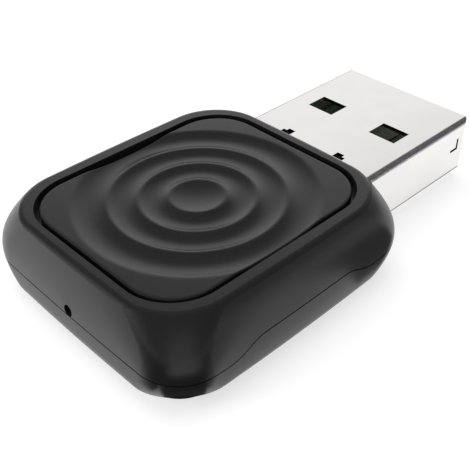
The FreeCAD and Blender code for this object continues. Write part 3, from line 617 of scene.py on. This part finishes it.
# %% Group: slow tone
def slow_tone():
    """Wide soft patches, as in handled plastic, plating and fired paste."""
    group, given, result = start_group("slow_tone", [("Size", 4.0)], ["Tone"])
    scale = reckon(group, "DIVIDE", 1 / MM, given["Size"])
    patches = texture(group, "TexNoise", scale, sockets={"Detail": 2, "Roughness": 0.5})
    wire(group, patches["Fac"], result["Tone"])
    return group


PATCHES = slow_tone()
print("group", PATCHES.name)

# %% [markdown]
# ## The black plastic
#
# The casing is moulded in near-black plastic with a satin face. Almost all that the eye sees of
# it is gloss: the colour underneath is under two percent grey. So the colour varies hardly at
# all, and the grain works on the roughness and, very slightly, on the surface itself.

# %% Plastic
BLACK = (0.0075, 0.0075, 0.008)
PLASTIC_PATCH = 3.5
DUST_SIZE, DUST_SHARE, DUST_WEIGHT = 0.16, 0.05, 0.35


def moulded_plastic(name, light, smooth, rough, grain_size, grain_depth, gloss):
    """Black plastic: its lighter tone, two roughnesses and the grain in millimetres."""
    material, tree, shader = start_material(name, BLACK, smooth, Specular_IOR_Level=gloss)
    patches = use_group(tree, PATCHES, Size=PLASTIC_PATCH)
    grain = use_group(tree, GRAIN, Size=grain_size)
    dust = use_group(tree, SPECKS, Size=DUST_SIZE, Amount=DUST_SHARE)
    tone = reckon(tree, "MULTIPLY_ADD", dust["Mask"], DUST_WEIGHT, patches["Tone"])
    wire(tree, two_tones(tree, tone, BLACK, light), shader.inputs["Base Color"])
    spread_value(tree, grain["Tone"], smooth, rough, shader.inputs["Roughness"])
    raise_surface(tree, grain["Height"], shader, grain_depth * MM)
    return material


SHELL_PLASTIC = moulded_plastic("satin_black_casing", (0.0105, 0.0105, 0.011), 0.25, 0.35, 0.07,
                                0.0016, 0.44)
PLATE_PLASTIC = moulded_plastic("satin_black_plate", (0.010, 0.010, 0.0105), 0.24, 0.34, 0.09,
                                0.0012, 0.42)
print("plastics", SHELL_PLASTIC.name, PLATE_PLASTIC.name)

# %% [markdown]
# ## The plated plug
#
# The plug's shell is thin steel sheet, rolled, folded and then plated with bright nickel. Plating
# fills the rolling lines only in part, so they stay as faint streaks along the plug. The long
# bends are rougher. Their colour is painted darker with pale specks, a painted reflection of a dim
# part of the room, and nearly black at the lower bends, which is painted shade. A nearly black
# border round the slit in its side is painted shade too. Each of these places is a mask: the bends
# are found from the direction in which the surface faces, the slit from its place on the plug.

# %% Masks on the plug
BEND_START, BEND_FULL = 0.03, 0.2
# Width of the soft border of the painted shade round the slit
SLIT_SHADE_BORDER = 0.015 * MM


def bend_mask(tree):
    """One on the sheet's long bends, where the surface faces between sideways and up or down."""
    normal = facing(tree)
    slant = reckon(tree, "MULTIPLY", axis_of(tree, normal, "Y"), axis_of(tree, normal, "Z"))
    return fade(tree, reckon(tree, "ABSOLUTE", slant), BEND_START, BEND_FULL)


def bar_mask(tree, centre, half):
    """One inside a bar across the plug; its centre and half size in x and z are in millimetres."""
    past = []
    for axis, middle, reach in zip("XZ", centre, half):
        offset = reckon(tree, "SUBTRACT", axis_of(tree, object_place(tree), axis), middle * MM)
        past.append(reckon(tree, "SUBTRACT", reckon(tree, "ABSOLUTE", offset), reach * MM))
    return fade(tree, reckon(tree, "MAXIMUM", *past), SLIT_SHADE_BORDER, -SLIT_SHADE_BORDER)


print("masks for the bends and the slit ready")

# %% Nickel
NICKEL, NICKEL_DARK, NICKEL_LIGHT = (0.84, 0.83, 0.81), (0.79, 0.78, 0.765), (0.86, 0.85, 0.83)
# Painted reflection on the bends: dark grey with pale specks; painted shade on the lower bends:
# near black
BEND_PAINTED_REFLECTION, BEND_REFLECTION_SPECK, LOWER_BEND_PAINTED_SHADE = (0.40, 0.40, 0.43), (0.9, 0.9, 0.93), (0.06, 0.06, 0.065)
# Painted shade round the slit in the side: nearly black
SLIT_PAINTED_SHADE = (0.02, 0.02, 0.02)
LOWER_START, LOWER_FULL = -0.05, -0.2
SMOOTH, ROUGH, BEND_ROUGHER = 0.08, 0.2, 1.2
LINE_DEPTH = 0.0006 * MM
SLIT_UPRIGHT = ((21.305, 3.41), (0.115, 0.49))
SLIT_FOOT = ((20.955, 3.035), (0.465, 0.115))


def plated_sheet():
    material, tree, shader = start_material("bright_nickel", NICKEL, 0.14, 1.0)
    lines = use_group(tree, LINES, Spacing=0.045, Stretch=60.0)
    patches = use_group(tree, PATCHES, Size=2.5)
    reflection_specks = use_group(tree, SPECKS, Size=0.13, Amount=0.75)
    tone = reckon(tree, "MULTIPLY_ADD", lines["Tone"], 0.4, patches["Tone"])
    plating = two_tones(tree, tone, NICKEL_DARK, NICKEL_LIGHT)
    bends = bend_mask(tree)
    # The bends' colour is a painted reflection, and painted shade where they face down
    painted_bend_reflection = mix_colours(tree, reflection_specks["Mask"], BEND_PAINTED_REFLECTION, BEND_REFLECTION_SPECK)
    lower = fade(tree, axis_of(tree, facing(tree), "Z"), LOWER_START, LOWER_FULL, smooth=False)
    folded = mix_colours(tree, lower, painted_bend_reflection, LOWER_BEND_PAINTED_SHADE)
    sheet = mix_colours(tree, bends, plating, folded)
    # A nearly black border round the slit, which is painted shade
    slit_shade = reckon(tree, "MAXIMUM", bar_mask(tree, *SLIT_UPRIGHT), bar_mask(tree, *SLIT_FOOT))
    wire(tree, mix_colours(tree, slit_shade, sheet, SLIT_PAINTED_SHADE), shader.inputs["Base Color"])
    rough = reckon(tree, "MULTIPLY_ADD", bends, BEND_ROUGHER, lines["Tone"])
    spread_value(tree, rough, SMOOTH, ROUGH, shader.inputs["Roughness"])
    raise_surface(tree, lines["Height"], shader, LINE_DEPTH)
    return material


PLUG_METAL = plated_sheet()
print("metal", PLUG_METAL.name)

# %% [markdown]
# ## The rippled cover plate
#
# The plate on top is moulded with a shallow dish in the middle and three troughs round it, like
# rings on water. Where two troughs meet, the crest is softly rounded, and that soft line is what
# catches the light. A mesh in rings follows such a shape best: its edges run along the crests,
# and near the outside they change over to the plate's own rounded outline. So the outline comes
# first.

# %% Plate outline
PLATE_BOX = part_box("ripple_plate")
PLATE_HALF_X = (PLATE_BOX[1][0] - PLATE_BOX[0][0]) / 2
PLATE_HALF_Y = (PLATE_BOX[1][1] - PLATE_BOX[0][1]) / 2
PLATE_CORNER = 3.3 * MM
PLATE_TOP = PLATE_BOX[1][2]
PLATE_FOOT = PLATE_BOX[0][2]
EDGE_ROUND = 0.12 * MM
QUARTERS = ((1, 1), (-1, 1), (-1, -1), (1, -1))


def rounded_outline(half_x, half_y, corner, per_corner, per_side):
    """Points of a rounded rectangle with their outward directions, anticlockwise."""
    points = []
    for quarter, (sx, sy) in enumerate(QUARTERS):
        middle = Vector((sx * (half_x - corner), sy * (half_y - corner), 0))
        for i in range(per_corner + 1):
            angle = (quarter + i / per_corner) * math.pi / 2
            out = Vector((math.cos(angle), math.sin(angle), 0))
            points.append((middle + out * corner, out))
        end, out = points[-1]
        nx, ny = QUARTERS[(quarter + 1) % 4]
        start = Vector((nx * (half_x - corner), ny * (half_y - corner), 0)) + out * corner
        for i in range(1, per_side):
            points.append((end.lerp(start, i / per_side), out))
    return points


OUTLINE = rounded_outline(PLATE_HALF_X, PLATE_HALF_Y, PLATE_CORNER, 30, 44)
print("plate outline of", len(OUTLINE), "points")

# %% [markdown]
# ## The plate's section
#
# From the middle outwards, the face is a row of shallow curves, each a parabola between two
# crests. Left as it is, it would have knife edges where two curves meet. A mean over a short
# stretch on both sides rounds them and leaves the troughs almost untouched.

# %% Plate section
CRESTS = [c * MM for c in (1.89, 3.87, 5.85, 8.12)]
TROUGH_DEPTH = 0.27 * MM
CREST_ROUND = 0.16 * MM
MEAN_STEPS = 8


def ripple_depth(distance):
    """How far the plate's face lies under its top, at a distance from the middle."""
    if distance >= CRESTS[-1]:
        return 0.0
    inner = 0.0
    for outer in CRESTS:
        if distance < outer:
            break
        inner = outer
    middle, half = ((inner + outer) / 2, (outer - inner) / 2) if inner else (0.0, outer)
    return TROUGH_DEPTH * (1 - ((distance - middle) / half) ** 2)


def soft_depth(distance):
    """The same with its crests rounded."""
    offsets = [i * CREST_ROUND / MEAN_STEPS for i in range(-MEAN_STEPS, MEAN_STEPS + 1)]
    return sum(ripple_depth(abs(distance + offset)) for offset in offsets) / len(offsets)


print("crest is", round(soft_depth(CRESTS[0]) / MM, 3), "mm under the top once it is rounded")

# %% [markdown]
# ## The plate's mesh
#
# The rings start as circles, change over to the outline in twenty steps, bend down round the edge
# and end at the foot of the wall. Each ring has one point for each point of the outline, so two
# neighbours always join in plain quads, and a fan closes the middle of the face and of the foot.

# %% Plate mesh
RING_STEP = 0.09 * MM
CIRCLE_END = 7.0 * MM
CHANGE_STEPS = 20
EDGE_STEPS = 4
WALL_LEVELS = (0.15 * MM, 0.0)


def at_height(height):
    return Vector((0, 0, height))


def face_rings(inset):
    """Rings on the plate's face: circles first, then a change-over to the outline."""
    radii = [r * RING_STEP for r in range(1, int(CIRCLE_END / RING_STEP))]
    rings = [[p.normalized() * radius + at_height(PLATE_TOP - soft_depth(radius))
              for p, out in inset] for radius in radii]
    for step in range(1, CHANGE_STEPS + 1):
        share = step / CHANGE_STEPS
        mixed = [(p, radii[-1] * (1 - share) + p.length * share) for p, out in inset]
        rings.append([p.normalized() * radius + at_height(PLATE_TOP - soft_depth(radius))
                      for p, radius in mixed])
    return rings


def edge_rings(inset):
    """Rings round the plate's rounded edge and down its wall."""
    rings = []
    for step in range(1, EDGE_STEPS + 1):
        angle = step / EDGE_STEPS * math.pi / 2
        out_by, down_by = EDGE_ROUND * math.sin(angle), EDGE_ROUND * (1 - math.cos(angle))
        rings.append([p + out * out_by + at_height(PLATE_TOP - soft_depth(p.length) - down_by)
                      for p, out in inset])
    for level in WALL_LEVELS:
        rings.append([p + out * EDGE_ROUND + at_height(PLATE_FOOT + level) for p, out in inset])
    return rings


def cover_plate():
    mesh = bmesh.new()
    inset = [(point - out * EDGE_ROUND, out) for point, out in OUTLINE]
    rings = [[mesh.verts.new(place) for place in ring]
             for ring in face_rings(inset) + edge_rings(inset)]
    middle = mesh.verts.new((0, 0, PLATE_TOP - soft_depth(0)))
    under = mesh.verts.new((0, 0, PLATE_FOOT))
    for i in range(len(inset)):
        j = (i + 1) % len(inset)
        mesh.faces.new((middle, rings[0][i], rings[0][j]))
        for one, two in zip(rings, rings[1:]):
            mesh.faces.new((one[i], one[j], two[j], two[i]))
        mesh.faces.new((under, rings[-1][j], rings[-1][i]))
    bmesh.ops.recalc_face_normals(mesh, faces=mesh.faces)
    for face in mesh.faces:
        face.smooth = True
    data = bpy.data.meshes.new("rippled_cover")
    mesh.to_mesh(data)
    mesh.free()
    piece = bpy.data.objects.new("rippled_cover", data)
    scene.collection.objects.link(piece)
    piece.data.materials.append(PLATE_PLASTIC)
    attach(piece, "root")
    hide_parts("ripple_plate")
    return piece


print("cover plate of", len(cover_plate().data.polygons), "faces")

# %% [markdown]
# ## The board
#
# The circuit board is glass-fibre laminate under green lacquer. Through the lacquer the copper
# tracks show as lighter green, slightly raised lines, and small plated holes join the layers. On
# the board's cut edges there is no lacquer, so the straw-coloured laminate shows. The side of
# the board that a point is on is read from the direction in which its surface faces. The tracks
# are stripes that run along the board in some square cells and across it in others.

# %% Copper tracks
TRACK_PITCH = 0.6 * MM
TRACK_EDGE = 0.55
BLOCKS_PER_METRE = 0.45 / MM
# a wave texture of scale 1 repeats after a tenth of pi
WAVE_REPEAT = math.pi / 10


def copper_tracks(tree):
    """Blocks of parallel tracks, some along the board and some across it."""
    place = object_place(tree)
    blocks = add_node(tree, "TexVoronoi", distance="CHEBYCHEV",
                      sockets={"Scale": BLOCKS_PER_METRE})
    wire(tree, place, blocks.inputs["Vector"])
    kind = add_node(tree, "SeparateColor")
    wire(tree, blocks.outputs["Color"], kind.inputs["Color"])
    mix = add_node(tree, "Mix", data_type="FLOAT")
    wire(tree, reckon(tree, "GREATER_THAN", kind.outputs["Red"], 0.5), mix.inputs["Factor"])
    for direction, label in (("X", "A"), ("Y", "B")):
        wave = add_node(tree, "TexWave", bands_direction=direction, wave_profile="TRI",
                        sockets={"Scale": WAVE_REPEAT / TRACK_PITCH, "Distortion": 0})
        wire(tree, place, wave.inputs["Vector"])
        wire(tree, reckon(tree, "GREATER_THAN", wave.outputs["Fac"], TRACK_EDGE),
             mix.inputs[label])
    return mix.outputs["Result"]


print("tracks every", TRACK_PITCH, "m")

# %% Board laminate
LACQUER = (0.02, 0.1, 0.045)
LACQUER_DARK, LACQUER_TRACK = (0.005, 0.034, 0.006), (0.014, 0.075, 0.014)
HOLE_GOLD = (0.42, 0.33, 0.16)
STRAW_DARK, STRAW_LIGHT = (0.27, 0.24, 0.12), (0.36, 0.33, 0.18)


def board_laminate():
    material, tree, shader = start_material("green_lacquered_board", LACQUER, 0.3,
                                            Specular_IOR_Level=0.12)
    tracks = copper_tracks(tree)
    vias = use_group(tree, SPECKS, Size=0.9, Amount=0.35)
    weave = use_group(tree, LINES, Spacing=0.12, Stretch=3.0)
    green = mix_colours(tree, tracks, LACQUER_DARK, LACQUER_TRACK)
    pads = mix_colours(tree, vias["Mask"], green, HOLE_GOLD)
    edge = two_tones(tree, weave["Tone"], STRAW_DARK, STRAW_LIGHT)
    steep = reckon(tree, "ABSOLUTE", axis_of(tree, facing(tree), "Z"))
    flat = reckon(tree, "GREATER_THAN", steep, 0.5)
    wire(tree, mix_colours(tree, flat, edge, pads), shader.inputs["Base Color"])
    spread_value(tree, flat, 0.75, 0.42, shader.inputs["Roughness"])
    raise_surface(tree, tracks, shader, 0.02 * MM, 0.6)
    return material


BOARD = board_laminate()
print("board", BOARD.name)

# %% [markdown]
# ## Metal inside
#
# The four contacts are gilt near the plug's mouth. The crystals have brushed lids and the shield
# can is dull tinned sheet. All three are the same idea as the plug's plating: a metal colour,
# lines from rolling or rubbing, and pits.

# %% Small metals
def worked_metal(name, dark, light, smooth, rough, spacing, stretch, **sockets):
    """Metal with rubbed lines, their spacing in millimetres, and pits."""
    material, tree, shader = start_material(name, dark, smooth, 1.0, **sockets)
    lines = use_group(tree, LINES, Spacing=spacing, Stretch=stretch)
    patches = use_group(tree, PATCHES, Size=1.2)
    pits = use_group(tree, SPECKS, Size=0.09, Amount=0.15)
    tone = reckon(tree, "MULTIPLY_ADD", lines["Tone"], 0.5, patches["Tone"])
    wire(tree, two_tones(tree, tone, dark, light), shader.inputs["Base Color"])
    worn = reckon(tree, "MAXIMUM", lines["Tone"], pits["Mask"])
    spread_value(tree, worn, smooth, rough, shader.inputs["Roughness"])
    raise_surface(tree, lines["Height"], shader, 0.0008 * MM)
    return material


GILT = worked_metal("gilt_contact", (0.30, 0.20, 0.075), (0.46, 0.33, 0.14), 0.1, 0.18,
                    0.03, 30.0, Specular_IOR_Level=0.1)
LID = worked_metal("brushed_lid", (0.50, 0.48, 0.43), (0.68, 0.66, 0.60), 0.22, 0.42,
                   0.03, 25.0)
TIN = worked_metal("tinned_can", (0.52, 0.52, 0.50), (0.70, 0.70, 0.68), 0.28, 0.46,
                   0.06, 12.0)
print("metals", GILT.name, LID.name, TIN.name)

# %% [markdown]
# ## Lacquer over the contacts
#
# Only the front of each contact meets a socket's springs and stays bare. Behind it the contact
# lies under the board's lacquer, which is why a dark green shows through the latch windows. The
# place along the plug decides between the two, so one material serves the whole contact.

# %% Lacquer over the contacts
LACQUER_FRONT = 20.2 * MM
LACQUER_BORDER = 0.05 * MM
LACQUERED = (0.040, 0.045, 0.010)


def lacquer_rear(material):
    tree = material.node_tree
    shader = tree.nodes["Principled BSDF"]
    along = axis_of(tree, object_place(tree), "X")
    under = fade(tree, along, LACQUER_FRONT + LACQUER_BORDER, LACQUER_FRONT - LACQUER_BORDER,
                 smooth=False)
    bright = shader.inputs["Base Color"].links[0].from_socket
    wire(tree, mix_colours(tree, under, bright, LACQUERED), shader.inputs["Base Color"])
    spread_value(tree, under, 1.0, 0.0, shader.inputs["Metallic"])


lacquer_rear(GILT)
print("lacquer behind", LACQUER_FRONT, "m")

# %% [markdown]
# ## Resin, ceramic, rubber and foam
#
# The rest of the inside is cast, pressed or fired. Chips are moulded in black resin with glassy
# filler that glints. Capacitors are tan ceramic, the antenna is pale ceramic with silver lines,
# and the inductor is pressed grey powder. The heat pad is soft and matt, and the tape is foam.
# One recipe serves them all: two tones, specks of a third, a grain, and their own gloss.

# %% Cast and fired finishes
DARK_TONE_END = 0.35


def cast_body(name, dark, light, fleck, smooth, rough, grain, fleck_size, fleck_share, depth):
    """Two tones by slow patches, flecks of a third colour, and a grain in millimetres."""
    material, tree, shader = start_material(name, dark, smooth)
    patches = use_group(tree, PATCHES, Size=1.4)
    body = use_group(tree, GRAIN, Size=grain)
    flecks = use_group(tree, SPECKS, Size=fleck_size, Amount=fleck_share)
    tone = reckon(tree, "MULTIPLY_ADD", body["Tone"], 0.5, patches["Tone"])
    colour = two_tones(tree, tone, dark, light, DARK_TONE_END)
    wire(tree, mix_colours(tree, flecks["Mask"], colour, fleck), shader.inputs["Base Color"])
    spread_value(tree, body["Tone"], smooth, rough, shader.inputs["Roughness"])
    raise_surface(tree, body["Height"], shader, depth * MM)
    return material


CAST = {
    "insulator_plastic": cast_body(
        "moulded_support", (0.012, 0.012, 0.012), (0.018, 0.018, 0.018), (0.03, 0.03, 0.03),
        0.4, 0.55, 0.08, 0.1, 0.05, 0.002),
    "chip_resin": cast_body(
        "chip_resin", (0.018, 0.018, 0.019), (0.028, 0.028, 0.03), (0.07, 0.07, 0.07),
        0.42, 0.62, 0.05, 0.06, 0.2, 0.004),
    "inductor_core": cast_body(
        "pressed_core", (0.10, 0.10, 0.11), (0.16, 0.16, 0.165), (0.25, 0.25, 0.25),
        0.5, 0.7, 0.06, 0.07, 0.35, 0.006),
    "fuse_body": cast_body(
        "fuse_body", (0.04, 0.16, 0.10), (0.07, 0.22, 0.14), (0.2, 0.35, 0.28),
        0.35, 0.5, 0.05, 0.08, 0.1, 0.003),
    "antenna_ceramic": cast_body(
        "antenna_ceramic", (0.62, 0.66, 0.70), (0.72, 0.75, 0.78), (0.85, 0.85, 0.86),
        0.25, 0.4, 0.05, 0.09, 0.15, 0.002),
    "capacitor_body": cast_body(
        "capacitor_ceramic", (0.26, 0.17, 0.10), (0.36, 0.25, 0.16), (0.5, 0.42, 0.32),
        0.35, 0.5, 0.04, 0.06, 0.15, 0.003),
    "resistor_body": cast_body(
        "resistor_glaze", (0.02, 0.02, 0.022), (0.035, 0.035, 0.04), (0.2, 0.2, 0.2),
        0.2, 0.35, 0.05, 0.08, 0.1, 0.002),
    "light_resin": cast_body(
        "clear_resin", (0.72, 0.74, 0.70), (0.82, 0.83, 0.78), (0.9, 0.9, 0.85),
        0.15, 0.3, 0.08, 0.12, 0.1, 0.002),
    "pad_rubber": cast_body(
        "heat_pad", (0.22, 0.26, 0.30), (0.28, 0.32, 0.36), (0.42, 0.45, 0.48),
        0.7, 0.85, 0.1, 0.09, 0.3, 0.01),
    "tape_foam": cast_body(
        "tape_foam", (0.02, 0.02, 0.02), (0.035, 0.035, 0.035), (0.008, 0.008, 0.008),
        0.8, 0.95, 0.09, 0.14, 0.5, 0.03),
}
print(len(CAST), "cast and fired finishes")

# %% [markdown]
# ## Dressing the model
#
# Each piece of the model names the slot that its finish comes from. So one table from slot to
# material dresses them all, and a piece that shares a slot shares its finish.

# %% Slots
FINISHES = {"shell_plastic": SHELL_PLASTIC, "plate_plastic": PLATE_PLASTIC,
            "plug_metal": PLUG_METAL, "contact_metal": GILT, "board_laminate": BOARD,
            "crystal_case": LID, "shield_metal": TIN, **CAST}
for row in frame["record"]["subparts"]:
    piece = frame["nodes"][row["node"]]
    piece.data.materials.clear()
    piece.data.materials.append(FINISHES[row["material_slot"]])
print("dressed", len(frame["nodes"]), "pieces in", len(FINISHES), "finishes")
